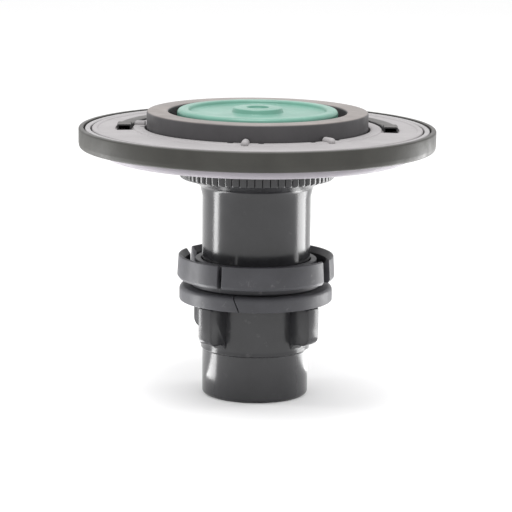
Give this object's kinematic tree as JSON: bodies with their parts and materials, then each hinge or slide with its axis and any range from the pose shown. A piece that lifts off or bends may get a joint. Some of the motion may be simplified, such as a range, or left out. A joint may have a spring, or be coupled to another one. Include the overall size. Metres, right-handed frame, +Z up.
{
  "type": "flush valve diaphragm kit",
  "caption": "Drop-in diaphragm kit of a flush valve: clamped rim, lifting core with a ringed guide, and a tilting green relief valve with a stem and sleeve.",
  "frame": {"origin": "centre of the guide's bottom rim", "axes": "+Z up along the common axis, from the guide to the relief valve; the front faces -Y"},
  "size_m": [0.064, 0.064, 0.0522],
  "materials": {
    "black_rubber": "satin, moulded",
    "pale_trim": "satin, moulded",
    "pale_rubber": "matt, flexible",
    "pale_plastic": "matt, slightly stained",
    "black_plastic": "satin, moulded",
    "cup_plastic": "satin top, moulded",
    "guide_plastic": "gloss, moulded",
    "ring_plastic": "matt, moulded",
    "green_plastic": "semi-gloss, moulded",
    "brass": "turned",
    "steel": "stamped"
  },
  "bodies": {
    "rim": {"diaphragm_bead": "black_rubber", "bead_lip_ring": "pale_trim", "diaphragm_web": "pale_rubber"},
    "core": {"diaphragm_centre": "black_rubber", "seat_washer": "black_plastic", "filter_ring": "pale_plastic", "bypass_strip": "black_plastic", "bypass_jets": "brass", "clamp_cup": "cup_plastic", "relief_seat": "brass", "guide": "guide_plastic", "refill_ring": "guide_plastic"},
    "flow_ring": {"flow_ring": "ring_plastic"},
    "relief_valve": {"relief_cap": "green_plastic", "relief_seal": "black_rubber", "seal_washer": "steel", "relief_stem": "brass", "stem_collar": "brass"},
    "trip_sleeve": {"trip_sleeve": "black_plastic"}
  },
  "joints": [
    {"name": "core_lift", "type": "slide", "parent": "rim", "child": "core", "axis": [0, 0, 1], "range_m": [0, 0.006], "stiffness_N_per_m": 400, "deforming": ["diaphragm_web"]},
    {"name": "flow_ring_turn", "type": "hinge", "parent": "core", "child": "flow_ring", "pos_m": [0, 0, 0.0225], "axis": [0, 0, 1], "continuous": true},
    {"name": "relief_tilt", "type": "hinge", "parent": "core", "child": "relief_valve", "pos_m": [0.011, 0, 0.0498], "axis": [0, 1, 0], "range_deg": [0, 5]},
    {"name": "sleeve_slide", "type": "slide", "parent": "relief_valve", "child": "trip_sleeve", "axis": [0, 0, 1], "range_m": [0, 0.008]}
  ]
}
